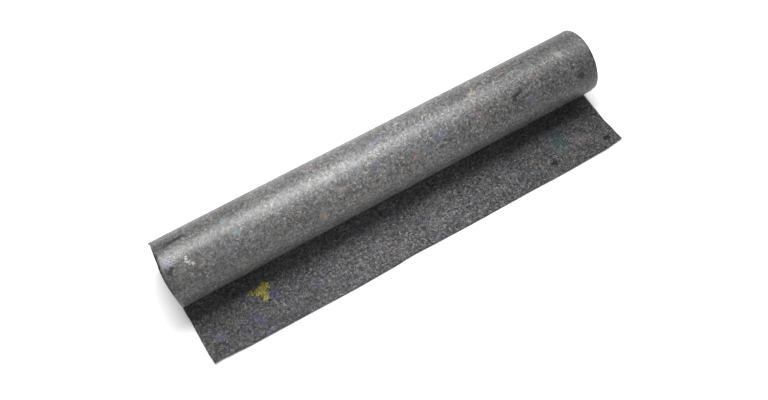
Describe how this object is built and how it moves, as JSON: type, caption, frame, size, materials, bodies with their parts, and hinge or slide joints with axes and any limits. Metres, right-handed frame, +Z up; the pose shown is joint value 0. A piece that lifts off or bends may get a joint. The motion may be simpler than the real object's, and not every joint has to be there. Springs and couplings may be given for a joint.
{
  "type": "roll of protective fleece",
  "caption": "Roll of grey needled protective fleece, wound on itself, with its loose end lying flat in front of it on the floor.",
  "frame": {"origin": "on the flat spot under the roll, midway along it and below its axis, at floor level", "axes": "+X along the roll, +Y towards its back, away from the loose end, +Z up"},
  "size_m": [1.0099, 0.2665, 0.1453],
  "materials": {
    "film_face": "needled grey mixed-fibre fleece under a thin clear film, semi-gloss",
    "fleece_face": "needled grey mixed-fibre fleece, matte, with coloured tufts"
  },
  "bodies": {
    "root": {"wound_roll": "film_face", "loose_end": "fleece_face"}
  },
  "joints": []
}
